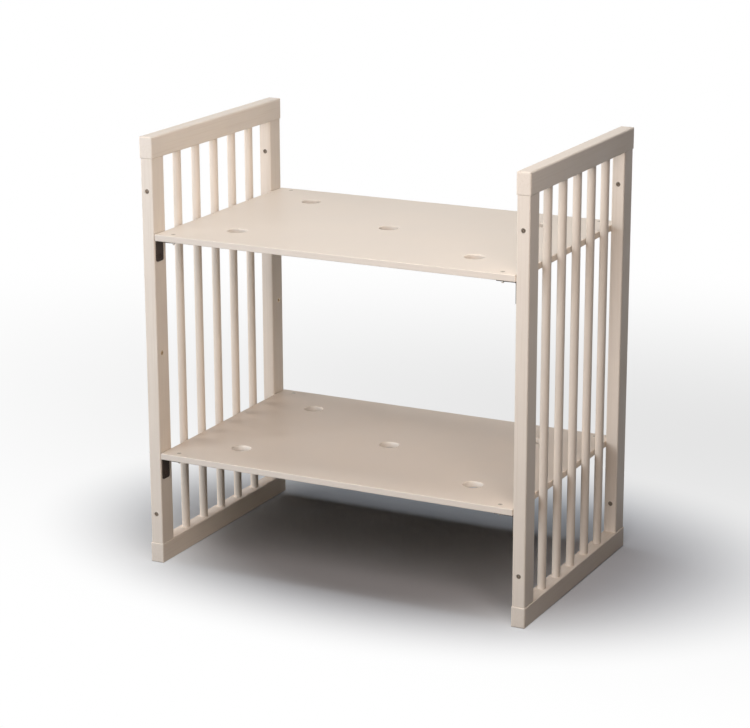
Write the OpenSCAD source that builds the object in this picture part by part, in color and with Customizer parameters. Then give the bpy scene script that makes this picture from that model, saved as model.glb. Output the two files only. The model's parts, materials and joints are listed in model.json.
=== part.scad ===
// Convertible crib in its open form: two slatted end frames joined by two
// boards that hang on steel angle brackets. The origin is on the floor,
// midway between the frames. X runs along the boards, Y from front to back.

/* [Overall] */
// Clear width between the posts of the two end frames
inner_w = 800; // [500:1:1400]
// Depth of an end frame over its front and rear post
frame_d = 530; // [450:1:800]
// Length of a post, from the bottom rail to the top rail
post_len = 820.5; // [780:0.5:1200]

/* [Posts] */
// Width of a post, along the boards
post_w = 27.5; // [20:0.5:40]
// Depth of a post, from front to back
post_d = 45; // [36:0.5:70]
// Radius of a post's long edges
post_edge_r = 3; // [0.5:0.25:5]
// Radius of the eased edges at a post's ends
post_end_r = 1; // [0.25:0.25:1.5]

/* [Rails] */
// How far a rail stands proud of the posts on every side
rail_lip = 1.5; // [0.5:0.25:4]
// Height of the top rail
top_rail_h = 45; // [34:1:80]
// Height of the bottom rail
bottom_rail_h = 43; // [34:1:80]
// Radius of the rail edges that the hand or the floor meets
rail_edge_r = 3.5; // [1:0.25:6]
// Radius of the rail edges that meet the posts
seam_edge_r = 2; // [0.5:0.25:3]

/* [Slats] */
// Diameter of a round slat
slat_diam = 17.5; // [12:0.5:22]
// Clear gap between a post and the slat next to it
slat_end_gap = 63.25; // [40:0.25:75]
// Depth of the blind bore that takes a slat's end
slat_seat = 15; // [8:0.5:25]
// Free depth above a slat in the top rail's bore
slat_play = 0.5; // [0.25:0.25:2]

/* [Boards] */
// Thickness of a board
board_t = 13.5; // [9:0.5:25]
// Gap between a board's end and the posts
board_end_gap = 1; // [0.5:0.25:3]
// Radius of a board's edges
board_edge_r = 1.5; // [0.5:0.25:3]
// Height of the upper board's top face above the floor
upper_board_h = 709; // [640:1:760]
// Height of the unused middle position, to a board's top face
middle_board_h = 504; // [430:1:560]
// Height of the lower board's top face above the floor
lower_board_h = 243; // [220:1:360]
// Diameter of an air hole
air_hole_diam = 40; // [20:1:80]
// Radius of the rounded rims of an air hole
air_hole_rim_r = 2; // [0.5:0.25:4]
// Distance of the corner air holes from the board's ends
air_hole_end = 132.5; // [80:0.5:200]
// Distance of the corner air holes from the board's front and rear edges
air_hole_edge = 105.5; // [80:0.5:170]

/* [Brackets] */
// Outer length of each leg of an angle bracket
bracket_leg = 45; // [42:0.5:60]
// Width of a bracket
bracket_w = 25; // [18:0.5:34]
// Thickness of the bracket's steel
bracket_t = 2.5; // [1.5:0.25:4]
// Inner radius of the bracket's bend
bracket_bend_r = 2; // [1:0.25:4]
// Radius of the corners at the end of a leg
bracket_corner_r = 4; // [1:0.25:6]
// Distance of a hole from the bracket's heel
bracket_hole = 35; // [24:0.5:36]
// Distance of a bracket's middle from the front or rear face of the posts
bracket_edge = 18; // [16:0.5:24]

/* [Board bolts] */
// Diameter of a board bolt
bolt_diam = 5; // [4:0.5:6]
// Core diameter of the bolt's thread
bolt_core = 4.2; // [3.2:0.1:4.5]
// Diameter of the countersunk bolt head
bolt_head_diam = 10; // [8:0.5:12]
// How far a bolt head lies below the board's face
bolt_sunk = 0.2; // [0.1:0.1:0.6]
// Width across the flats of the bolt's hex socket
bolt_socket = 3; // [2:0.5:3.5]
// Depth of the bolt's hex socket
bolt_socket_deep = 1.6; // [1:0.1:2.2]
// Width of a nut across its flats
nut_flats = 8; // [7:0.5:10]
// Height of a nut
nut_h = 4; // [3:0.5:6]
// Length of bolt that stands out below the nut
bolt_tail = 2; // [0.5:0.5:6]

/* [Post screws and inserts] */
// Diameter of the screw that holds a bracket to a post
screw_diam = 6; // [5.5:0.5:7]
// Diameter of the domed screw head
screw_head_diam = 10.5; // [9:0.5:14]
// Height of the domed screw head
screw_head_h = 3.3; // [2.5:0.1:4.5]
// Width across the flats of the screw's hex socket
screw_socket = 4; // [3:0.5:5]
// Depth of the screw's hex socket
screw_socket_deep = 2; // [1:0.1:2.3]
// Length of screw inside the threaded insert
screw_reach = 13; // [8:0.5:14]
// Outer diameter of a threaded insert
insert_diam = 10; // [8:0.5:12]
// Length of a threaded insert
insert_len = 15; // [14:0.5:18]
// Width across the flats of an insert's hex socket
insert_socket = 6; // [5.5:0.5:6.5]
// Depth of an insert's hex socket
insert_socket_deep = 2.5; // [1:0.5:4]

/* [Panel sleeves] */
// Outer diameter of a sleeve that runs through a post
sleeve_diam = 10; // [8:0.5:12]
// How far a sleeve's end lies below the post's face
sleeve_sunk = 0.25; // [0.25:0.25:2]
// Radius of the rounded rim at a sleeve's end
sleeve_rim_r = 1.25; // [0.25:0.25:1.5]
// Distance of the upper sleeve from the post's upper end
upper_sleeve_end = 67; // [40:1:100]
// Distance of the lower sleeve from the post's lower end
lower_sleeve_end = 64; // [40:1:100]
// Core diameter of the thread in sleeves and inserts
thread_core = 5; // [4:0.1:5.2]
// Width across the flats of a sleeve's hex socket
sleeve_socket = 6; // [5.5:0.5:6.5]
// Depth of a sleeve's hex socket
sleeve_socket_deep = 3; // [1:0.5:6]

/* [Dowel pins] */
// Diameter of a dowel pin
pin_diam = 8; // [6:0.5:9]
// Length of a dowel pin
pin_len = 40; // [24:1:50]
// Distance between the two pins of one joint
pin_spacing = 22; // [16:0.5:24]
// Free depth at each end of a pin's hole
pin_play = 0.5; // [0.25:0.25:2]

/* [Fits] */
// Gap all round a glued or pressed piece in its bore
seat_gap = 0.1; // [0.05:0.05:0.2]
// Gap all round a bolt or screw in a plain hole
bolt_gap = 0.25; // [0.1:0.05:0.5]
// Gap all round a screw in its thread, drawn plain
thread_gap = 0.1; // [0.05:0.05:0.15]

/* [Hidden] */
$fn = 64;

// Signs that name a side: right and rear lie in the positive directions
LEFT = -1;
RIGHT = 1;
FRONT = -1;
REAR = 1;

// How far a cutting shape runs past the face that it opens
cut = 1;

// Centre of the right rear post, and the inner face that the boards meet
post_face_x = inner_w / 2;
post_x = post_face_x + post_w / 2;
post_y = (frame_d - post_d) / 2;
post_top = bottom_rail_h + post_len;

// Line of the brackets, their bolts, screws and inserts
bracket_y = frame_d / 2 - bracket_edge;

// Rails follow the posts, one lip larger on every side
rail_w = post_w + 2 * rail_lip;
rail_len = frame_d + 2 * rail_lip;

// Slats are spaced evenly between the end gaps
slat_count = 5;
slat_pitch = (frame_d - 2 * post_d - 2 * slat_end_gap - slat_diam) / (slat_count - 1);

// Boards fill the clear width, flush with the posts front and rear
board_len = inner_w - 2 * board_end_gap;
hole_x = board_len / 2 - air_hole_end;
hole_y = frame_d / 2 - air_hole_edge;
bolt_x = post_face_x - bracket_hole;
bolt_head_h = (bolt_head_diam - bolt_diam) / 2;

// Heights of what crosses a post
insert_heights = [for (top = [lower_board_h, middle_board_h, upper_board_h])
    top - board_t - bracket_hole];
sleeve_heights = [bottom_rail_h + lower_sleeve_end, post_top - upper_sleeve_end];

// Colours of the finishes
paint = "#e2d7cb";
beech = "#c9a77c";
zinc = "#b4b6b8";
black_steel = "#3a332d";

// Rectangle with four round corners
module rounded_rect(w, h, r) {
    square([w - 2 * r, h], center = true);
    square([w, h - 2 * r], center = true);
    for (x = [-1, 1], y = [-1, 1])
        translate([x * (w / 2 - r), y * (h / 2 - r)]) circle(r);
}

// Rectangle whose upper and lower corners have radii of their own
module rail_section(w, h, upper_r, lower_r) {
    for (half = [[0, upper_r], [1, lower_r]])
        mirror([0, half[0]]) {
            r = half[1];
            translate([-w / 2, 0]) square([w, h / 2 - r]);
            translate([r - w / 2, 0]) square([w - 2 * r, h / 2]);
            for (x = [-1, 1])
                translate([x * (w / 2 - r), h / 2 - r]) circle(r);
        }
}

// Block with eased edges, centred in plan and standing on height zero
module eased_block(w, d, h, upper_r, lower_r, upright_r) {
    intersection() {
        translate([0, d / 2, h / 2]) rotate([90, 0, 0])
            linear_extrude(d) rail_section(w, h, upper_r, lower_r);
        translate([-w / 2, 0, h / 2]) rotate([90, 0, 90])
            linear_extrude(w) rail_section(d, h, upper_r, lower_r);
        linear_extrude(h) rounded_rect(w, d, upright_r);
    }
}

// Moves what is drawn at the right rear corner to another corner
module corner(side, end) {
    mirror([side == LEFT ? 1 : 0, 0, 0])
        mirror([0, end == FRONT ? 1 : 0, 0]) children();
}

// Hex socket of the given width across its flats, cut downwards
module hex_socket(flats, deep) {
    translate([0, 0, -deep]) cylinder(d = flats / cos(30), h = deep + cut, $fn = 6);
}

// Places of the pins at one joint of the right rear post
module at_pins() {
    for (y = [-1, 1]) translate([post_x, post_y + y * pin_spacing / 2, 0]) children();
}

// Holes for the dowel pins in a joint at height z
module pin_holes(z) {
    deep = pin_len / 2 + pin_play;
    at_pins() translate([0, 0, z - deep])
        cylinder(d = pin_diam + 2 * seat_gap, h = 2 * deep);
}

module post(side, end) {
    color(paint) corner(side, end) difference() {
        translate([post_x, post_y, bottom_rail_h])
            eased_block(post_w, post_d, post_len, post_end_r, post_end_r, post_edge_r);
        pin_holes(bottom_rail_h);
        pin_holes(post_top);
        for (z = sleeve_heights)
            translate([post_x, frame_d / 2 + cut, z]) rotate([90, 0, 0])
                cylinder(d = sleeve_diam + 2 * seat_gap, h = post_d + 2 * cut);
        for (z = insert_heights)
            translate([post_face_x - cut, bracket_y, z]) rotate([0, 90, 0])
                cylinder(d = insert_diam + 2 * seat_gap, h = insert_len + pin_play + cut);
    }
}

// Places of the slats of the right frame
module at_slat(number) {
    translate([post_x, (number - (slat_count + 1) / 2) * slat_pitch, 0]) children();
}

module slat(side, number) {
    z = bottom_rail_h - slat_seat;
    color(paint) corner(side, REAR) at_slat(number)
        translate([0, 0, z]) cylinder(d = slat_diam, h = post_top + slat_seat - slat_play - z);
}

// Blind bores for the slats, of which z is the floor
module slat_seats(z) {
    for (number = [1 : slat_count])
        at_slat(number) translate([0, 0, z])
            cylinder(d = slat_diam + 2 * seat_gap, h = slat_seat + cut);
}

module top_rail(side) {
    color(paint) corner(side, REAR) difference() {
        translate([post_x, 0, post_top])
            eased_block(rail_w, rail_len, top_rail_h, rail_edge_r, seam_edge_r, rail_edge_r);
        pin_holes(post_top);
        mirror([0, 1, 0]) pin_holes(post_top);
        slat_seats(post_top - cut);
    }
}

module bottom_rail(side) {
    color(paint) corner(side, REAR) difference() {
        translate([post_x, 0, 0])
            eased_block(rail_w, rail_len, bottom_rail_h, seam_edge_r, rail_edge_r,
                rail_edge_r);
        pin_holes(bottom_rail_h);
        mirror([0, 1, 0]) pin_holes(bottom_rail_h);
        slat_seats(bottom_rail_h - slat_seat);
    }
}

module dowel_pins(side) {
    color(beech) for (end = [FRONT, REAR], z = [bottom_rail_h, post_top])
        corner(side, end) at_pins()
            translate([0, 0, z - pin_len / 2]) cylinder(d = pin_diam, h = pin_len);
}

// Solid rod whose two ends have rounded rims, centred on the origin
module round_ended_rod(diam, len, rim_r) {
    rotate_extrude() {
        translate([0, rim_r - len / 2]) square([diam / 2, len - 2 * rim_r]);
        translate([0, -len / 2]) square([diam / 2 - rim_r, len]);
        for (tip = [-1, 1])
            translate([diam / 2 - rim_r, tip * (len / 2 - rim_r)])
                intersection() {
                    circle(rim_r);
                    translate([0, -rim_r]) square([rim_r, 2 * rim_r]);
                }
    }
}

// Threaded steel sleeves that run through the posts from front to back
module panel_sleeves(side) {
    sleeve_len = post_d - 2 * sleeve_sunk;
    color(zinc) for (end = [FRONT, REAR], z = sleeve_heights)
        corner(side, end) translate([post_x, post_y, z]) rotate([90, 0, 0])
            difference() {
                round_ended_rod(sleeve_diam, sleeve_len, sleeve_rim_r);
                cylinder(d = thread_core, h = sleeve_len + 2 * cut, center = true);
                for (tip = [0, 1])
                    mirror([0, 0, tip]) translate([0, 0, sleeve_len / 2])
                        hex_socket(sleeve_socket, sleeve_socket_deep);
            }
}

// Threaded steel inserts in the posts' inner faces, for the brackets
module post_inserts(side) {
    color(zinc) for (end = [FRONT, REAR], z = insert_heights)
        corner(side, end) translate([post_face_x, bracket_y, z]) rotate([0, 90, 0])
            difference() {
                cylinder(d = insert_diam, h = insert_len);
                translate([0, 0, -cut]) cylinder(d = thread_core, h = insert_len + 2 * cut);
                mirror([0, 0, 1]) hex_socket(insert_socket, insert_socket_deep);
            }
}

// Board with a given height of its top face
module board(top) {
    color(paint) difference() {
        translate([0, 0, top - board_t])
            eased_block(board_len, frame_d, board_t, board_edge_r, board_edge_r,
                board_edge_r);
        for (x = [-1, 1], y = [-1, 1]) {
            translate([x * hole_x, y * hole_y, 0]) air_hole(top);
            translate([x * bolt_x, y * bracket_y, top]) bolt_hole();
        }
        air_hole(top);
    }
}

// Round hole that widens towards both faces along its rounded rims
module air_hole(top) {
    r = air_hole_diam / 2;
    wide = r + air_hole_rim_r;
    straight = board_t - 2 * air_hole_rim_r;
    translate([0, 0, top - board_t / 2]) rotate_extrude() difference() {
        translate([0, -board_t / 2 - cut]) square([wide, board_t + 2 * cut]);
        translate([r, -straight / 2]) square([air_hole_rim_r + cut, straight]);
        for (face = [-1, 1])
            translate([wide, face * straight / 2]) circle(air_hole_rim_r);
    }
}

// Countersunk hole that opens upwards at height zero
module bolt_hole() {
    mouth = bolt_head_diam + 2 * seat_gap;
    shank = bolt_diam + 2 * bolt_gap;
    cone_h = (mouth - shank) / 2;
    translate([0, 0, -board_t - cut]) cylinder(d = shank, h = board_t + 2 * cut);
    translate([0, 0, -bolt_sunk - cone_h]) cylinder(d1 = shank, d2 = mouth, h = cone_h);
    translate([0, 0, -bolt_sunk]) cylinder(d = mouth, h = bolt_sunk + cut);
}

// Flat end of a bracket leg, running along Y from zero, with two round corners
module leg_outline() {
    len = bracket_leg - bracket_bend_r - bracket_t;
    straight = len - bracket_corner_r;
    translate([-bracket_w / 2, 0]) square([bracket_w, straight]);
    translate([bracket_corner_r - bracket_w / 2, 0])
        square([bracket_w - 2 * bracket_corner_r, len]);
    for (x = [-1, 1])
        translate([x * (bracket_w / 2 - bracket_corner_r), straight])
            circle(bracket_corner_r);
}

// Angle bracket under a board: one leg on the post, one below the board
module bracket(side, end, top) {
    heel = bracket_bend_r + bracket_t;
    under = top - board_t;
    hole = screw_diam + 2 * bolt_gap;
    color(black_steel) corner(side, end) translate([post_face_x, bracket_y, under])
        difference() {
            union() {
                translate([-heel, 0, -bracket_t]) rotate([0, 0, 90])
                    linear_extrude(bracket_t) leg_outline();
                translate([-bracket_t, 0, -heel]) rotate([-90, 0, 90])
                    mirror([0, 0, 1]) linear_extrude(bracket_t) leg_outline();
                translate([-heel, bracket_w / 2, -heel]) rotate([90, 0, 0])
                    rotate_extrude(angle = 90) translate([bracket_bend_r, 0])
                        square([bracket_t, bracket_w]);
            }
            translate([-bracket_hole, 0, -bracket_t - cut])
                cylinder(d = bolt_diam + 2 * bolt_gap, h = bracket_t + 2 * cut);
            translate([-bracket_t - cut, 0, -bracket_hole]) rotate([0, 90, 0])
                cylinder(d = hole, h = bracket_t + 2 * cut);
        }
}

// The four bolts that hold a board down on its brackets
module board_bolts(top) {
    head_z = top - bolt_sunk;
    plain_z = top - board_t - bracket_t;
    tip_z = plain_z - nut_h - bolt_tail;
    color(zinc) for (x = [-1, 1], y = [-1, 1])
        translate([x * bolt_x, y * bracket_y, 0]) difference() {
            union() {
                translate([0, 0, head_z - bolt_head_h])
                    cylinder(d1 = bolt_diam, d2 = bolt_head_diam, h = bolt_head_h);
                translate([0, 0, plain_z])
                    cylinder(d = bolt_diam, h = head_z - bolt_head_h - plain_z);
                translate([0, 0, tip_z])
                    cylinder(d = bolt_core - 2 * thread_gap, h = plain_z - tip_z);
            }
            translate([0, 0, head_z]) hex_socket(bolt_socket, bolt_socket_deep);
        }
}

module board_nuts(top) {
    under = top - board_t - bracket_t;
    color(zinc) for (x = [-1, 1], y = [-1, 1])
        translate([x * bolt_x, y * bracket_y, under - nut_h]) difference() {
            cylinder(d = nut_flats / cos(30), h = nut_h, $fn = 6);
            translate([0, 0, -cut]) cylinder(d = bolt_core, h = nut_h + 2 * cut);
        }
}

// The four screws that hold a board's brackets to the posts
module post_screws(top) {
    z = top - board_t - bracket_hole;
    head_r = screw_head_diam / 2;
    dome_r = (head_r * head_r + screw_head_h * screw_head_h) / (2 * screw_head_h);
    color(black_steel) for (side = [LEFT, RIGHT], end = [FRONT, REAR])
        corner(side, end) translate([post_face_x - bracket_t, bracket_y, z])
            rotate([0, -90, 0]) difference() {
                union() {
                    intersection() {
                        translate([0, 0, screw_head_h - dome_r]) sphere(dome_r);
                        cylinder(r = head_r, h = screw_head_h);
                    }
                    translate([0, 0, -bracket_t - screw_reach])
                        cylinder(d = thread_core - 2 * thread_gap,
                            h = bracket_t + screw_reach + cut);
                }
                translate([0, 0, screw_head_h]) hex_socket(screw_socket, screw_socket_deep);
            }
}

module left_top_rail() { top_rail(LEFT); }
module left_bottom_rail() { bottom_rail(LEFT); }
module left_front_post() { post(LEFT, FRONT); }
module left_rear_post() { post(LEFT, REAR); }
module left_slat_1() { slat(LEFT, 1); }
module left_slat_2() { slat(LEFT, 2); }
module left_slat_3() { slat(LEFT, 3); }
module left_slat_4() { slat(LEFT, 4); }
module left_slat_5() { slat(LEFT, 5); }
module left_dowel_pins() { dowel_pins(LEFT); }
module left_panel_sleeves() { panel_sleeves(LEFT); }
module left_post_inserts() { post_inserts(LEFT); }

module right_top_rail() { top_rail(RIGHT); }
module right_bottom_rail() { bottom_rail(RIGHT); }
module right_front_post() { post(RIGHT, FRONT); }
module right_rear_post() { post(RIGHT, REAR); }
module right_slat_1() { slat(RIGHT, 1); }
module right_slat_2() { slat(RIGHT, 2); }
module right_slat_3() { slat(RIGHT, 3); }
module right_slat_4() { slat(RIGHT, 4); }
module right_slat_5() { slat(RIGHT, 5); }
module right_dowel_pins() { dowel_pins(RIGHT); }
module right_panel_sleeves() { panel_sleeves(RIGHT); }
module right_post_inserts() { post_inserts(RIGHT); }

module upper_board() { board(upper_board_h); }
module upper_left_front_bracket() { bracket(LEFT, FRONT, upper_board_h); }
module upper_left_rear_bracket() { bracket(LEFT, REAR, upper_board_h); }
module upper_right_front_bracket() { bracket(RIGHT, FRONT, upper_board_h); }
module upper_right_rear_bracket() { bracket(RIGHT, REAR, upper_board_h); }
module upper_board_bolts() { board_bolts(upper_board_h); }
module upper_board_nuts() { board_nuts(upper_board_h); }
module upper_post_screws() { post_screws(upper_board_h); }

module lower_board() { board(lower_board_h); }
module lower_left_front_bracket() { bracket(LEFT, FRONT, lower_board_h); }
module lower_left_rear_bracket() { bracket(LEFT, REAR, lower_board_h); }
module lower_right_front_bracket() { bracket(RIGHT, FRONT, lower_board_h); }
module lower_right_rear_bracket() { bracket(RIGHT, REAR, lower_board_h); }
module lower_board_bolts() { board_bolts(lower_board_h); }
module lower_board_nuts() { board_nuts(lower_board_h); }
module lower_post_screws() { post_screws(lower_board_h); }

left_top_rail();
left_bottom_rail();
left_front_post();
left_rear_post();
left_slat_1();
left_slat_2();
left_slat_3();
left_slat_4();
left_slat_5();
left_dowel_pins();
left_panel_sleeves();
left_post_inserts();
right_top_rail();
right_bottom_rail();
right_front_post();
right_rear_post();
right_slat_1();
right_slat_2();
right_slat_3();
right_slat_4();
right_slat_5();
right_dowel_pins();
right_panel_sleeves();
right_post_inserts();
upper_board();
upper_left_front_bracket();
upper_left_rear_bracket();
upper_right_front_bracket();
upper_right_rear_bracket();
upper_board_bolts();
upper_board_nuts();
upper_post_screws();
lower_board();
lower_left_front_bracket();
lower_left_rear_bracket();
lower_right_front_bracket();
lower_right_rear_bracket();
lower_board_bolts();
lower_board_nuts();
lower_post_screws();
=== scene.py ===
import json
import math

import bmesh
import bpy
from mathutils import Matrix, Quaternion, Vector

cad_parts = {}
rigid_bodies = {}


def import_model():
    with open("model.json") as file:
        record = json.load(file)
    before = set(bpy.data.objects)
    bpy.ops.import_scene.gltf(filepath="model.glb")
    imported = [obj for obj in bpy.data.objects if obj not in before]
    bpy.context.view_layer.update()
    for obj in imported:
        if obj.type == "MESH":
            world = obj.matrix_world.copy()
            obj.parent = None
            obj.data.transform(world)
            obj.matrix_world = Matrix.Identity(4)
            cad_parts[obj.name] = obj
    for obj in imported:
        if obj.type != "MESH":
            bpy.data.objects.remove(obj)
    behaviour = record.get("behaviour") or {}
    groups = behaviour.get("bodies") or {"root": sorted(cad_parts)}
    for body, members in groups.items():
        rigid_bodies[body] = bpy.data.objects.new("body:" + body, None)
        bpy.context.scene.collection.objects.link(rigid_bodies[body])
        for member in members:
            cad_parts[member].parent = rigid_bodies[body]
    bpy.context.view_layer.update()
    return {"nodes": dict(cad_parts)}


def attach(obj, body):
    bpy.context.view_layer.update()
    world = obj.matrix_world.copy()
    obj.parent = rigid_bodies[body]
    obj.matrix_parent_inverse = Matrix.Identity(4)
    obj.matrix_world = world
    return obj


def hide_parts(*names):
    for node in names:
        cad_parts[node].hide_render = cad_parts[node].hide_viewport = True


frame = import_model()
cad = frame["nodes"]
mm = 0.001

# Posts
# Four posts of solid beech carry the rails and the boards. Each is planed to 27.5 by 45 mm,
# its long edges are rounded over, and the whole post is sprayed with a satin paint.
posts = ["left_front_post", "left_rear_post", "right_front_post", "right_rear_post"]
# A Mix node has several sockets of one name, so those for colours and numbers go by index.
MIX_A, MIX_B, MIX_RESULT = 6, 7, 2
MIX_NUMBER_A, MIX_NUMBER_B = 2, 3
# A noise texture's values lie mostly between these two.
NOISE_LOW, NOISE_HIGH = 0.3, 0.7
ALONG_Y, ALONG_Z = 1, 2


def linear(colour):
    """Turns an sRGB hex colour into the linear colour that a shader takes."""
    parts = [int(colour[i:i + 2], 16) / 255 for i in (1, 3, 5)]
    curved = [c / 12.92 if c <= 0.04045 else ((c + 0.055) / 1.055) ** 2.4 for c in parts]
    return (*curved, 1.0)


def add(tree, kind, sockets=None, **settings):
    """Adds a node with its settings, and gives each named socket a value or a link."""
    made = tree.nodes.new(kind)
    for name, value in settings.items():
        setattr(made, name, value)
    for name, value in (sockets or {}).items():
        if isinstance(value, bpy.types.NodeSocket):
            tree.links.new(value, made.inputs[name])
        else:
            made.inputs[name].default_value = value
    return made


def blank_material(name):
    """A material without nodes yet, and the node tree that takes them."""
    made = bpy.data.materials.new(name)
    made.use_nodes = True
    made.node_tree.nodes.clear()
    return made, made.node_tree


def painted_beech(name, grain):
    """Satin paint on planed beech: a pale, even coat through which the grain shows as faint
    ridges and bands."""
    band_w, band_len = 3.5 * mm, 160 * mm
    # Beech pores are 0.1 mm wide and 2 mm long. They are drawn ten times coarser, to show.
    pore_w, pore_len = 1.0 * mm, 18 * mm
    # A spray pass leaves the coat a shade uneven, in patches of this size.
    spray_patch = 70 * mm
    made, tree = blank_material(name)
    place = add(tree, "ShaderNodeTexCoord").outputs["Object"]

    def streaks(width, length, detail):
        scale = [1 / width] * 3
        scale[grain] = 1 / length
        stretched = add(tree, "ShaderNodeVectorMath", {0: place, 1: scale}, operation="MULTIPLY")
        return add(tree, "ShaderNodeTexNoise", {"Vector": stretched.outputs[0], "Scale": 1.0,
                                                "Detail": detail}).outputs["Fac"]

    bands = streaks(band_w, band_len, 3.0)
    pores = streaks(pore_w, pore_len, 1.0)
    patches = add(tree, "ShaderNodeTexNoise", {"Vector": place, "Scale": 1 / spray_patch,
                                               "Detail": 2.0}).outputs["Fac"]
    shade = add(tree, "ShaderNodeMapRange", {"Value": patches, "From Min": NOISE_LOW,
                                             "From Max": NOISE_HIGH})
    coat = add(tree, "ShaderNodeMix", {"Factor": shade.outputs[0], MIX_A: linear("#e1d6ca"),
                                       MIX_B: linear("#e5dacd")}, data_type="RGBA")
    # Only the strongest bands of the grain tint the coat, and at most by half.
    tinted = add(tree, "ShaderNodeMapRange", {"Value": bands, "From Min": 0.5,
                                              "From Max": 0.72, "To Max": 0.5})
    grained = add(tree, "ShaderNodeMix", {"Factor": tinted.outputs[0],
                                          MIX_A: coat.outputs[MIX_RESULT],
                                          MIX_B: linear("#d9ccbd")}, data_type="RGBA")
    gloss = add(tree, "ShaderNodeMapRange", {"Value": patches, "From Min": NOISE_LOW,
                                             "From Max": NOISE_HIGH, "To Min": 0.40,
                                             "To Max": 0.50})
    ridges = add(tree, "ShaderNodeBump", {"Height": bands, "Strength": 1.0,
                                          "Distance": 0.06 * mm})
    relief = add(tree, "ShaderNodeBump", {"Height": pores, "Strength": 1.0,
                                          "Distance": 0.02 * mm,
                                          "Normal": ridges.outputs[0]})
    skin = add(tree, "ShaderNodeBsdfPrincipled", {"Base Color": grained.outputs[MIX_RESULT],
                                                  "Roughness": gloss.outputs[0],
                                                  "Normal": relief.outputs[0], "IOR": 1.45})
    add(tree, "ShaderNodeOutputMaterial", {"Surface": skin.outputs[0]})
    return made


post_paint = painted_beech("painted_beech_upright", ALONG_Z)
for name in posts:
    cad[name].material_slots[0].material = post_paint

# Rails
# A top and a bottom rail of the same painted beech close each end frame. A rail stands 1.5 mm
# proud of the posts all round, and the edges that a hand or the floor meets are rounder.
rails = ["left_top_rail", "left_bottom_rail", "right_top_rail", "right_bottom_rail"]
rail_paint = painted_beech("painted_beech_lying", ALONG_Y)
for name in rails:
    cad[name].material_slots[0].material = rail_paint

# Slats
# Five turned beech rods, 17.5 mm thick, stand in blind bores in the two rails of each frame.
# They are painted with the frame.
slat_paint = painted_beech("painted_beech_turned", ALONG_Z)
slats = [f"{side}_slat_{number}" for side in ("left", "right") for number in range(1, 6)]
for name in slats:
    cad[name].material_slots[0].material = slat_paint

# Dowel pins
# Bare beech pins of 8 by 40 mm, with flutes that let the glue rise. Two of them join each end
# of a post to its rail, half in the one and half in the other, where they don't show.
def bare_beech():
    """Bare beech: pale tan wood with short darker flecks along the grain, quite matt."""
    # Year rings stand 1.2 mm apart, and beech's rays show as flecks of 0.3 by 2.5 mm.
    band_w, band_len = 1.2 * mm, 40 * mm
    fleck_w, fleck_len = 0.3 * mm, 2.5 * mm
    made, tree = blank_material("bare_beech")
    place = add(tree, "ShaderNodeTexCoord").outputs["Object"]
    layers = []
    for width, length in ((band_w, band_len), (fleck_w, fleck_len)):
        stretched = add(tree, "ShaderNodeVectorMath",
                        {0: place, 1: (1 / width, 1 / width, 1 / length)}, operation="MULTIPLY")
        layers.append(add(tree, "ShaderNodeTexNoise", {"Vector": stretched.outputs[0],
                                                       "Scale": 1.0}).outputs["Fac"])
    bands, flecks = layers
    wood = add(tree, "ShaderNodeMix", {"Factor": bands, MIX_A: linear("#d2b184"),
                                       MIX_B: linear("#bf9a6e")}, data_type="RGBA")
    dark = add(tree, "ShaderNodeMapRange", {"Value": flecks, "From Min": 0.62, "From Max": 0.7,
                                            "To Max": 0.6})
    flecked = add(tree, "ShaderNodeMix", {"Factor": dark.outputs[0],
                                          MIX_A: wood.outputs[MIX_RESULT],
                                          MIX_B: linear("#99704a")}, data_type="RGBA")
    relief = add(tree, "ShaderNodeBump", {"Height": bands, "Strength": 0.6,
                                          "Distance": 0.05 * mm})
    skin = add(tree, "ShaderNodeBsdfPrincipled", {"Base Color": flecked.outputs[MIX_RESULT],
                                                  "Roughness": 0.65,
                                                  "Normal": relief.outputs[0]})
    add(tree, "ShaderNodeOutputMaterial", {"Surface": skin.outputs[0]})
    return made


pin_wood = bare_beech()
X, Y, Z = Vector((1, 0, 0)), Vector((0, 1, 0)), Vector((0, 0, 1))
sides = {"left": -1, "right": 1}
ends = {"front": -1, "rear": 1}
# Edges that turn by this much or more are drawn sharp, and the others smooth.
sharp_from = math.radians(32)


def stack(rings, hollow=False):
    """Closed mesh through a list of rings, each a height and its radii. A hollow one joins
    its last ring to its first, and a solid one gets a flat face at both ends."""
    count = len(rings[0][1])
    points = []
    for height, radii in rings:
        for i, radius in enumerate(radii):
            turn = 2 * math.pi * i / count
            points.append((radius * math.cos(turn), radius * math.sin(turn), height))
    last = len(rings) if hollow else len(rings) - 1
    faces = []
    for low in range(last):
        high = (low + 1) % len(rings)
        for i in range(count):
            j = (i + 1) % count
            faces.append((low * count + i, low * count + j, high * count + j, high * count + i))
    if not hollow:
        top = (len(rings) - 1) * count
        faces.append(tuple(reversed(range(count))))
        faces.append(tuple(range(top, top + count)))
    return points, faces


def copies(name, shape, places, material, node):
    """One piece that holds a copy of the shape at each place: where its foot is, which way
    its height points, and which way its first corner points."""
    points, faces = shape
    mesh = bpy.data.meshes.new(name)
    all_points, all_faces = [], []
    for foot, height, corner in places:
        start = len(all_points)
        third = height.cross(corner)
        all_points += [foot + corner * x + third * y + height * z for x, y, z in points]
        all_faces += [tuple(start + i for i in face) for face in faces]
    mesh.from_pydata(all_points, [], all_faces)
    solid = bmesh.new()
    solid.from_mesh(mesh)
    bmesh.ops.recalc_face_normals(solid, faces=solid.faces)
    for face in solid.faces:
        face.smooth = True
    for edge in solid.edges:
        edge.smooth = edge.calc_face_angle() < sharp_from
    solid.to_mesh(mesh)
    solid.free()
    mesh.materials.append(material)
    made = bpy.data.objects.new(name, mesh)
    bpy.context.scene.collection.objects.link(made)
    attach(made, "root")
    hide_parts(node)
    return made


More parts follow.
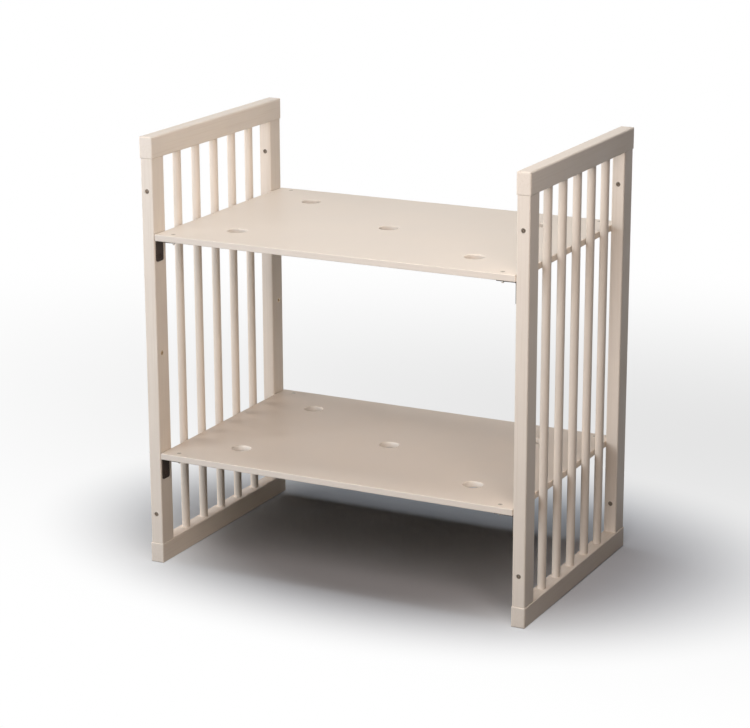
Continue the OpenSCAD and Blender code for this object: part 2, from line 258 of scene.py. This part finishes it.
pin_r, pin_len, pin_chamfer = 4 * mm, 40 * mm, 1 * mm
flutes, flute_deep = 16, 0.35 * mm
# How deep each of a flute's four corners lies.
flute_shape = [0, 0.5, 1, 0.5]
fluted = [pin_r - flute_deep * share for share in flute_shape * flutes]
tip = [pin_r - pin_chamfer] * len(fluted)
fluted_pin = stack([(0, tip), (pin_chamfer, fluted), (pin_len - pin_chamfer, fluted),
                    (pin_len, tip)])
post_x, post_y, pin_apart = 413.75 * mm, 242.5 * mm, 22 * mm
post_foot, post_head = 43 * mm, 863.5 * mm
for side, sx in sides.items():
    places = []
    for sy in ends.values():
        for joint in (post_foot, post_head):
            for shift in (-pin_apart / 2, pin_apart / 2):
                foot = Vector((sx * post_x, sy * post_y + shift, joint - pin_len / 2))
                places.append((foot, Z, X))
    copies(f"{side}_fluted_pins", fluted_pin, places, pin_wood,
           f"{side}_dowel_pins")

# Panel sleeves and post inserts
# Turned steel fittings, zinc plated, with a hex socket and an M6 thread. A sleeve runs right
# through a post, and an insert sits in a post's inner face, behind a bracket's screw.
def zinc_plate(name, light, dark):
    """Zinc on turned steel: a metal of two near tones, slightly clouded, finely scratched."""
    # The passivate clouds the metal over about 2 mm.
    cloud = 2.2 * mm
    # Tumbling scratches are a few hundredths of a millimetre wide. They are drawn coarser.
    scratch_w, scratch_len = 0.12 * mm, 2.5 * mm
    made, tree = blank_material(name)
    place = add(tree, "ShaderNodeTexCoord").outputs["Object"]
    clouds = add(tree, "ShaderNodeTexNoise", {"Vector": place, "Scale": 1 / cloud,
                                              "Detail": 3.0}).outputs["Fac"]
    stretched = add(tree, "ShaderNodeVectorMath",
                    {0: place, 1: (1 / scratch_len, 1 / scratch_w, 1 / scratch_w)},
                    operation="MULTIPLY")
    scratches = add(tree, "ShaderNodeTexNoise", {"Vector": stretched.outputs[0],
                                                 "Scale": 1.0}).outputs["Fac"]
    metal = add(tree, "ShaderNodeMix", {"Factor": clouds, MIX_A: linear(light),
                                        MIX_B: linear(dark)}, data_type="RGBA")
    gloss = add(tree, "ShaderNodeMapRange", {"Value": clouds, "From Min": NOISE_LOW,
                                             "From Max": NOISE_HIGH, "To Min": 0.28,
                                             "To Max": 0.42})
    relief = add(tree, "ShaderNodeBump", {"Height": scratches, "Strength": 0.5,
                                          "Distance": 0.01 * mm})
    skin = add(tree, "ShaderNodeBsdfPrincipled", {"Base Color": metal.outputs[MIX_RESULT],
                                                  "Metallic": 1.0,
                                                  "Roughness": gloss.outputs[0],
                                                  "Normal": relief.outputs[0]})
    add(tree, "ShaderNodeOutputMaterial", {"Surface": skin.outputs[0]})
    return made


# Their passivates differ: the sleeves are a dim brown grey, the inserts a dull yellow.
dark_zinc = zinc_plate("dark_passivated_zinc", "#9a8f83", "#786e63")
yellow_zinc = zinc_plate("yellow_passivated_zinc", "#cfb99b", "#b6a184")
# Every ring of a fitting has this many corners: six to each side of a hexagon.
around = 36


def circle(radius):
    """Radii of a ring that is round."""
    return [radius] * around


def hexagon(flats):
    """Radii of a ring that is a hexagon, measured across its flats."""
    step = 360 / around
    return [flats / 2 / math.cos(math.radians((i * step) % 60 - 30)) for i in range(around)]


def thread(start, stop, plain_r, ridge_r, pitch):
    """Rings of a right-handed screw thread. Its ridges stand out of a plain radius, or into
    the bore if theirs is smaller, and fade into it over half a turn at each end. Ridge,
    groove and each flank take a quarter of the pitch."""
    rows_a_turn = 6
    ridge_half, groove_from = 1 / 8, 3 / 8
    rows = max(2, round(abs(stop - start) / pitch * rows_a_turn))
    rings = []
    for row in range(rows + 1):
        height = start + (stop - start) * row / rows
        fade = min(1, min(row, rows - row) / (rows_a_turn / 2))
        radii = []
        for i in range(around):
            off_ridge = abs((height / pitch - i / around) % 1 - 1 / 2)
            flank = (groove_from - off_ridge) / (groove_from - ridge_half)
            radii.append(plain_r + (ridge_r - plain_r) * min(1, max(0, flank)) * fade)
        rings.append((height, radii))
    return rings


m6_root, m6_crest, m6_mouth, m6_pitch = 2.5 * mm, 3.0 * mm, 2.9 * mm, 1.0 * mm
# A tapped bore's thread starts and ends a little inside the bore.
lead_in, run_out = 0.4 * mm, 0.3 * mm
key_flats, key_break = 6 * mm, 0.25 * mm
sleeve_r, sleeve_len, rim_r, rim_steps = 5 * mm, 44.5 * mm, 1.25 * mm, 6
sleeve_key_deep, sleeve_tapped = 3 * mm, 10 * mm
sleeve_heights = [107 * mm, 796.5 * mm]
face = sleeve_len / 2
key_end = face - sleeve_key_deep
tap_start, tap_stop = key_end - lead_in, key_end - sleeve_tapped
rim = []
for step in range(rim_steps + 1):
    turn = math.radians(90 * step / rim_steps)
    rim.append((face - rim_r + rim_r * math.sin(turn),
                circle(sleeve_r - rim_r + rim_r * math.cos(turn))))
key = [(face, hexagon(key_flats + 2 * key_break)), (face - key_break, hexagon(key_flats)),
       (key_end, hexagon(key_flats)), (key_end, circle(m6_mouth))]
rings = [(-height, radii) for height, radii in reversed(rim)] + rim + key
rings += thread(tap_start, tap_stop, m6_root, m6_crest, m6_pitch)
rings += thread(-tap_stop, -tap_start, m6_root, m6_crest, m6_pitch)
rings += [(-height, radii) for height, radii in reversed(key)]
sleeve = stack(rings, hollow=True)
for side, sx in sides.items():
    places = []
    for sy in ends.values():
        for height in sleeve_heights:
            places.append((Vector((sx * post_x, sy * post_y, height)), Y * sy, X))
    copies(f"{side}_threaded_sleeves", sleeve, places, dark_zinc,
           f"{side}_panel_sleeves")

post_face_x, bracket_y = 400 * mm, 247 * mm
insert_r, insert_core, insert_len, wood_pitch = 5 * mm, 4.1 * mm, 15 * mm, 2.5 * mm
insert_collar, collar_groove, insert_key_deep = 1.2 * mm, 0.2 * mm, 2.5 * mm
insert_tip, tip_taper = 0.8 * mm, 0.5 * mm
insert_heights = [194.5 * mm, 455.5 * mm, 660.5 * mm]
rings = [(0, hexagon(key_flats + 2 * key_break)), (0, circle(insert_r)),
         (insert_collar, circle(insert_r))]
rings += thread(insert_collar + collar_groove, insert_len - insert_tip, insert_core, insert_r,
                wood_pitch)
rings += [(insert_len, circle(insert_core - tip_taper)), (insert_len, circle(m6_mouth))]
# Where its thread runs out, the bore is as wide as the thread is deep, to let the screw in.
rings += thread(insert_len - run_out, insert_key_deep + lead_in, m6_crest, m6_root, m6_pitch)
rings += [(insert_key_deep, circle(m6_mouth)), (insert_key_deep, hexagon(key_flats)),
          (key_break, hexagon(key_flats))]
insert = stack(rings, hollow=True)
for side, sx in sides.items():
    places = []
    for sy in ends.values():
        for height in insert_heights:
            places.append((Vector((sx * post_face_x, sy * bracket_y, height)), X * sx, Z))
    copies(f"{side}_threaded_inserts", insert, places, yellow_zinc,
           f"{side}_post_inserts")

# Brackets and post screws
# Eight angle brackets, bent from 2.5 mm steel and powder coated, carry the boards. Each hangs
# on one black screw with a domed head, which turns into a post's insert.
def powder_coat():
    """Dark brown powder coat on steel: nearly black, finely pebbled and matt."""
    # The pebbles of a powder coat are about 0.3 mm across. They are drawn at twice that.
    pebble = 0.6 * mm
    patch = 9 * mm
    made, tree = blank_material("powder_coated_steel")
    place = add(tree, "ShaderNodeTexCoord").outputs["Object"]
    pebbles = add(tree, "ShaderNodeTexNoise", {"Vector": place, "Scale": 1 / pebble,
                                               "Detail": 2.0}).outputs["Fac"]
    patches = add(tree, "ShaderNodeTexNoise", {"Vector": place, "Scale": 1 / patch}).outputs["Fac"]
    coat = add(tree, "ShaderNodeMix", {"Factor": patches, MIX_A: linear("#2a1d15"),
                                       MIX_B: linear("#35271d")}, data_type="RGBA")
    gloss = add(tree, "ShaderNodeMapRange", {"Value": pebbles, "To Min": 0.6, "To Max": 0.8})
    relief = add(tree, "ShaderNodeBump", {"Height": pebbles, "Strength": 1.0,
                                          "Distance": 0.05 * mm})
    skin = add(tree, "ShaderNodeBsdfPrincipled", {"Base Color": coat.outputs[MIX_RESULT],
                                                  "Roughness": gloss.outputs[0],
                                                  "Normal": relief.outputs[0], "IOR": 1.45})
    add(tree, "ShaderNodeOutputMaterial", {"Surface": skin.outputs[0]})
    return made


bracket_coat = powder_coat()
boards = {"upper": 709 * mm, "lower": 243 * mm}
board_t, bracket_t, bracket_hole = 13.5 * mm, 2.5 * mm, 35 * mm
for board in boards:
    for side in sides:
        for end in ends:
            cad[f"{board}_{side}_{end}_bracket"].material_slots[0].material = bracket_coat

head_r, head_h, head_break, screw_reach = 5.25 * mm, 3.3 * mm, 0.2 * mm, 13 * mm
screw_key, screw_key_deep = 4 * mm, 2 * mm
screw_point, screw_neck, screw_play = 0.5 * mm, 0.6 * mm, 0.1 * mm
dome_r = (head_r ** 2 + head_h ** 2) / (2 * head_h)
shank_r = m6_root - screw_play
rings = [(-bracket_t - screw_reach, circle(shank_r - screw_point))]
rings += thread(-bracket_t - screw_reach + screw_point, -screw_neck, shank_r,
                m6_crest - screw_play, m6_pitch)
rings += [(0, circle(shank_r)), (0, circle(head_r - head_break))]
# The dome ends a little below its peak, in the flat round the socket.
dome_steps, dome_share = 9, 0.93
for step in range(dome_steps + 1):
    height = head_h * step / dome_steps * dome_share
    rings.append((height, circle(math.sqrt(dome_r ** 2 - (height + dome_r - head_h) ** 2))))
socket_top = rings[-1][0]
rings += [(socket_top, hexagon(screw_key)), (head_h - screw_key_deep, hexagon(screw_key))]
screw = stack(rings)
for board, top in boards.items():
    places = []
    for sx in sides.values():
        for sy in ends.values():
            height = top - board_t - bracket_hole
            foot = Vector((sx * (post_face_x - bracket_t), sy * bracket_y, height))
            places.append((foot, -X * sx, Z))
    copies(f"{board}_threaded_post_screws", screw, places, bracket_coat,
           f"{board}_post_screws")

# Boards
# Two boards of 13.5 mm fibreboard, routed with five air holes and sprayed with the frame's
# paint. The upper one is the changing or bed height, the lower one a shelf.
def painted_fibreboard():
    """Satin paint on fibreboard: flat and even, with a fine orange peel on the faces, duller
    and slightly darker edges, where the cut fibres drink the paint, and air hole walls painted
    paler, a painted light that stands in for the light reaching into the holes."""
    # A sprayed coat's peel is about 1 mm across. It is drawn at 2.5 mm, to show.
    peel = 2.5 * mm
    spray_patch = 120 * mm
    fibre = 0.5 * mm
    # The air holes lie within this far of a board's middle, and its outer edges further out.
    holes_half_x, holes_half_y = 300 * mm, 190 * mm
    made, tree = blank_material("painted_fibreboard")
    place = add(tree, "ShaderNodeTexCoord").outputs["Object"]
    patches = add(tree, "ShaderNodeTexNoise", {"Vector": place, "Scale": 1 / spray_patch,
                                               "Detail": 2.0}).outputs["Fac"]
    dimples = add(tree, "ShaderNodeTexNoise", {"Vector": place, "Scale": 1 / peel,
                                               "Detail": 1.0}).outputs["Fac"]
    fibres = add(tree, "ShaderNodeTexNoise", {"Vector": place, "Scale": 1 / fibre,
                                              "Detail": 2.0}).outputs["Fac"]
    normal = add(tree, "ShaderNodeNewGeometry").outputs["Normal"]
    facing = add(tree, "ShaderNodeVectorMath", {0: normal}, operation="ABSOLUTE")
    lies_flat = add(tree, "ShaderNodeSeparateXYZ", {0: facing.outputs[0]}).outputs["Z"]
    cut_edge = add(tree, "ShaderNodeMapRange", {"Value": lies_flat, "From Min": 0.75,
                                                "From Max": 0.3}).outputs[0]
    shade = add(tree, "ShaderNodeMapRange", {"Value": patches, "From Min": NOISE_LOW,
                                             "From Max": NOISE_HIGH})
    coat = add(tree, "ShaderNodeMix", {"Factor": shade.outputs[0], MIX_A: linear("#e1d6c9"),
                                       MIX_B: linear("#e4d9cc")}, data_type="RGBA")
    inward = add(tree, "ShaderNodeVectorMath",
                 {0: place, 1: (1 / holes_half_x, 1 / holes_half_y, 0)}, operation="MULTIPLY")
    spread = add(tree, "ShaderNodeVectorMath", {0: inward.outputs[0]}, operation="ABSOLUTE")
    share = add(tree, "ShaderNodeSeparateXYZ", {0: spread.outputs[0]})
    furthest = add(tree, "ShaderNodeMath", {0: share.outputs["X"], 1: share.outputs["Y"]},
                   operation="MAXIMUM")
    # Painted light: the air hole walls get a paler colour, standing in for the light that reaches
    # into the holes.
    hole_light_mask = add(tree, "ShaderNodeMath", {0: furthest.outputs[0], 1: 1.0},
                  operation="LESS_THAN").outputs[0]
    edge_coat_and_hole_light = add(tree, "ShaderNodeMix", {"Factor": hole_light_mask, MIX_A: linear("#dcd2c7"),
                                           MIX_B: linear("#f0e8de")}, data_type="RGBA")
    colour = add(tree, "ShaderNodeMix", {"Factor": cut_edge, MIX_A: coat.outputs[MIX_RESULT],
                                         MIX_B: edge_coat_and_hole_light.outputs[MIX_RESULT]}, data_type="RGBA")
    face_gloss = add(tree, "ShaderNodeMapRange", {"Value": patches, "From Min": NOISE_LOW,
                                                  "From Max": NOISE_HIGH, "To Min": 0.42,
                                                  "To Max": 0.50})
    gloss = add(tree, "ShaderNodeMix", {"Factor": cut_edge, MIX_NUMBER_A: face_gloss.outputs[0],
                                        MIX_NUMBER_B: 0.6})
    peeled = add(tree, "ShaderNodeBump", {"Height": dimples, "Strength": 1.0,
                                          "Distance": 0.03 * mm})
    raised = add(tree, "ShaderNodeBump", {"Height": fibres, "Strength": cut_edge,
                                          "Distance": 0.04 * mm,
                                          "Normal": peeled.outputs[0]})
    skin = add(tree, "ShaderNodeBsdfPrincipled", {"Base Color": colour.outputs[MIX_RESULT],
                                                  "Roughness": gloss.outputs[0],
                                                  "Normal": raised.outputs[0], "IOR": 1.45})
    add(tree, "ShaderNodeOutputMaterial", {"Surface": skin.outputs[0]})
    return made


board_paint = painted_fibreboard()
for height in ("upper", "lower"):
    cad[f"{height}_board"].material_slots[0].material = board_paint

# Board bolts and nuts
# Countersunk M5 bolts hold the boards down on the brackets, each with a hex nut below.
# The bolts are a dull zinc, and the nuts a brighter one that hardly shows against white.
dull_zinc = zinc_plate("dull_zinc", "#bbb0a1", "#a2978a")
bright_zinc = zinc_plate("bright_zinc", "#e0dcd6", "#cac6c0")
bolt_r, bolt_root, bolt_crest, m5_pitch = 2.5 * mm, 2.0 * mm, 2.45 * mm, 0.8 * mm
bolt_head_r, bolt_head_h, bolt_sunk = 5 * mm, 2.5 * mm, 0.2 * mm
bolt_key, bolt_key_deep, bolt_tail = 3 * mm, 1.6 * mm, 2 * mm
bolt_point, bolt_head_land = 0.4 * mm, 0.25 * mm
nut_flats, nut_h = 8 * mm, 4 * mm
nut_root, nut_groove, nut_mouth = 2.1 * mm, 2.52 * mm, 2.65 * mm
bolt_x = post_face_x - bracket_hole
bolt_len = board_t + bracket_t + nut_h + bolt_tail - bolt_sunk
rings = [(0, circle(bolt_root - bolt_point))]
rings += thread(bolt_point, bolt_tail + nut_h, bolt_root, bolt_crest, m5_pitch)
rings += [(bolt_tail + nut_h + run_out, circle(bolt_r)),
          (bolt_len - bolt_head_h, circle(bolt_r)),
          (bolt_len - bolt_head_land, circle(bolt_head_r - bolt_head_land)),
          (bolt_len, circle(bolt_head_r - bolt_head_land)),
          (bolt_len, hexagon(bolt_key)), (bolt_len - bolt_key_deep, hexagon(bolt_key))]
bolt = stack(rings)


def nut_side(height):
    """Radii of a hex nut at a height. Its corners are turned off at 30 degrees, down to round
    faces that are a little narrower than its flats."""
    face_share, cone_slope = 0.96, math.tan(math.radians(30))
    inside = min(height, nut_h - height)
    cone = nut_flats / 2 * face_share + inside / cone_slope
    return [min(radius, cone) for radius in hexagon(nut_flats)]


turned_mm = [0, 0.1, 0.2, 0.3, 0.45]
heights = [d * mm for d in turned_mm] + [nut_h - d * mm for d in reversed(turned_mm)]
rings = [(bolt_tail + height, nut_side(height)) for height in heights]
rings += [(bolt_tail + nut_h, circle(nut_mouth))]
rings += thread(bolt_tail + nut_h - run_out, bolt_tail + run_out, nut_groove, nut_root, m5_pitch)
rings += [(bolt_tail, circle(nut_mouth))]
nut = stack(rings, hollow=True)
for board, top in boards.items():
    spots = [(sx * bolt_x, sy * bracket_y) for sx in sides.values() for sy in ends.values()]
    places = [(Vector((x, y, top - bolt_sunk - bolt_len)), Z, X) for x, y in spots]
    copies(f"{board}_threaded_board_bolts", bolt, places, dull_zinc,
           f"{board}_board_bolts")
    # Half a turn brings a nut's ridges between the bolt's.
    turned = [(foot, height, -corner) for foot, height, corner in places]
    copies(f"{board}_threaded_board_nuts", nut, turned, bright_zinc,
           f"{board}_board_nuts")

# Floor and backdrop
# The crib stands on a matt white studio floor. Its shadow fades into plain white further off,
# and behind the crib that white is painted a little dimmer, as painted shade.
floor_half = 30.0
floor_drop = 0.1 * mm
# Two ellipses on the floor, in metres: the shadow's reach, and the painted shade behind it.
shadow_centre, shadow_halves, shadow_end = (0.028, 0.103), (0.424, 0.296), 2.21
dim_centre, dim_halves = (0.4, 1.06), (3.0, 1.74)
floor_mesh = bpy.data.meshes.new("studio_floor")
corners = [(-1, -1), (1, -1), (1, 1), (-1, 1)]
floor_mesh.from_pydata([(x * floor_half, y * floor_half, -floor_drop) for x, y in corners], [],
                       [(0, 1, 2, 3)])
floor = bpy.data.objects.new("studio_floor", floor_mesh)
bpy.context.scene.collection.objects.link(floor)


def seen_directly(tree):
    """1 where the camera, a reflection or clear glass sees the surface, 0 for its bounce."""
    ray = add(tree, "ShaderNodeLightPath").outputs
    shiny = add(tree, "ShaderNodeMath", {0: ray["Is Glossy Ray"], 1: ray["Is Transmission Ray"]},
                operation="MAXIMUM")
    return add(tree, "ShaderNodeMath", {0: ray["Is Camera Ray"], 1: shiny.outputs[0]},
               operation="MAXIMUM").outputs[0]


matt_white, tree = blank_material("matt_white_floor")
place = add(tree, "ShaderNodeTexCoord").outputs["Object"]


def halves_away(centre, halves):
    """How many of its half sizes a place on the floor lies from an ellipse's centre."""
    offset = add(tree, "ShaderNodeVectorMath", {0: place, 1: (*centre, 0)}, operation="SUBTRACT")
    scaled = add(tree, "ShaderNodeVectorMath",
                 {0: offset.outputs[0], 1: (1 / halves[0], 1 / halves[1], 0)},
                 operation="MULTIPLY")
    return add(tree, "ShaderNodeVectorMath", {0: scaled.outputs[0]},
               operation="LENGTH").outputs["Value"]


# Far is 0 where the floor shows its shadow, and 1 where it is plain white.
far = add(tree, "ShaderNodeMapRange",
          {"Value": halves_away(shadow_centre, shadow_halves), "From Min": 1.0,
           "From Max": shadow_end}, interpolation_type="SMOOTHSTEP")
# Painted shade: the white dims towards this ellipse's middle, behind the crib.
lit = add(tree, "ShaderNodeMapRange", {"Value": halves_away(dim_centre, dim_halves)},
          interpolation_type="SMOOTHSTEP")
pale = add(tree, "ShaderNodeMix", {"Factor": lit.outputs[0], MIX_A: linear("#e5e5e5"),
                                   MIX_B: linear("#ffffff")}, data_type="RGBA")
# The floor sends up less light than it shows, so that its shadow stays deep, and it shows a
# cool tone, which the warm lamps turn to a neutral grey.
bounce = add(tree, "ShaderNodeBsdfDiffuse", {"Color": linear("#888888")})
shown = add(tree, "ShaderNodeBsdfDiffuse", {"Color": linear("#eaf3ff")})
white = add(tree, "ShaderNodeEmission", {"Color": pale.outputs[MIX_RESULT], "Strength": 1.0})
faded = add(tree, "ShaderNodeMixShader", {0: far.outputs[0], 1: shown.outputs[0],
                                          2: white.outputs[0]})
surface = add(tree, "ShaderNodeMixShader", {0: seen_directly(tree), 1: bounce.outputs[0],
                                            2: faded.outputs[0]})
add(tree, "ShaderNodeOutputMaterial", {"Surface": surface.outputs[0]})
floor_mesh.materials.append(matt_white)

# The world is the white that the camera and reflections see. It lights nothing itself.
world = bpy.data.worlds.new("white_studio")
world.use_nodes = True
tree = world.node_tree
tree.nodes.clear()
unlit = add(tree, "ShaderNodeBackground", {"Color": linear("#ffffff"), "Strength": 0.0})
backdrop = add(tree, "ShaderNodeBackground", {"Color": linear("#ffffff"), "Strength": 1.0})
surface = add(tree, "ShaderNodeMixShader", {0: seen_directly(tree), 1: unlit.outputs[0],
                                            2: backdrop.outputs[0]})
add(tree, "ShaderNodeOutputWorld", {"Surface": surface.outputs[0]})
bpy.context.scene.world = world

# Lamps
# Two soft boxes, overhead and high on the right, light the crib and the floor. Flags keep the
# five low ones off the floor, so its shadow stays deep, and one of them off the right frame.
# The rear one lights only what the camera doesn't see, and the boards don't mirror it.
off_floor = bpy.data.collections.new("all_but_the_floor")
off_right_frame = bpy.data.collections.new("all_but_the_floor_and_the_right_frame")
right_frame = [piece for piece in bpy.data.objects if piece.name.startswith("right_")]
for group, kept_dark in ((off_floor, [floor]), (off_right_frame, [floor] + right_frame)):
    for number, piece in enumerate(kept_dark):
        group.objects.link(piece)
        group.collection_objects[number].light_linking.link_state = "EXCLUDE"


def direction(azimuth, elevation):
    """The way from the crib to a lamp or camera. Azimuth 0 is in front, and 90 on the right."""
    a, e = math.radians(azimuth), math.radians(elevation)
    return Vector((math.sin(a) * math.cos(e), -math.cos(a) * math.cos(e), math.sin(e)))


def soft_box(name, azimuth, elevation, distance, side, strength, colour="#ffffff", flag=None):
    """Square lamp that faces the crib's middle. At a strength of 1, what faces it there
    shows about its written colour. A flag keeps its light off a group of pieces."""
    crib_middle = Vector((0, 0, 0.45))
    back = direction(azimuth, elevation)
    lamp = bpy.data.lights.new(name, "AREA")
    lamp.shape = "SQUARE"
    lamp.size = side
    lamp.energy = strength * (math.pi * distance) ** 2
    lamp.color = linear(colour)[:3]
    made = bpy.data.objects.new(name, lamp)
    made.location = crib_middle + back * distance
    made.rotation_mode = "QUATERNION"
    made.rotation_quaternion = (-back).to_track_quat("-Z", "Y")
    if flag:
        made.light_linking.receiver_collection = flag
    bpy.context.scene.collection.objects.link(made)
    return made


# Azimuth and elevation in degrees, distance and side in metres, strength, tint and flag.
soft_box("overhead_soft_box", 0, 90, 2.4, 1.2, 0.50)
soft_box("right_soft_box", 35, 35, 2.4, 1.2, 0.29, "#ffeadd")
soft_box("front_soft_box", -30, 14, 2.6, 1.4, 0.57, "#f2f8ff", off_floor)
soft_box("left_soft_box", -90, 10, 2.6, 1.4, 0.46, "#ffebdf", off_floor)
soft_box("near_soft_box", 30, 20, 1.6, 1.0, 0.195, flag=off_floor)
low_right = soft_box("low_right_soft_box", 60, 10, 2.6, 1.4, 0.128, "#fff0de", off_right_frame)
low_right.light_linking.blocker_collection = off_right_frame
rear = soft_box("rear_soft_box", 190, 3, 2.6, 1.0, 0.24, "#ffe4cc", off_floor)
rear.visible_glossy = False

# Camera
# It looks at the crib from the front right, a little above the boards, from far away. Its
# place, aim and focal length were fitted to the crib's edges in the photograph.
camera_azimuth, camera_elevation = 26.953, 15.747
camera_distance = 4.996
camera_roll = -0.195
camera_aim = Vector((-0.02824, -0.00921, 0.41776))
focal_length_px, image_width_px = 2396.7, 750
sensor_w = 36.0
back = direction(camera_azimuth, camera_elevation)
camera = bpy.data.cameras.new("studio_camera")
camera.sensor_width = sensor_w
camera.lens = focal_length_px * sensor_w / image_width_px
camera.clip_end = 100.0
holder = bpy.data.objects.new("studio_camera", camera)
holder.location = camera_aim + back * camera_distance
holder.rotation_mode = "QUATERNION"
level = (-back).to_track_quat("-Z", "Y")
holder.rotation_quaternion = level @ Quaternion((0, 0, 1), math.radians(camera_roll))
bpy.context.scene.collection.objects.link(holder)
bpy.context.scene.camera = holder
bpy.context.scene.view_settings.view_transform = "Standard"
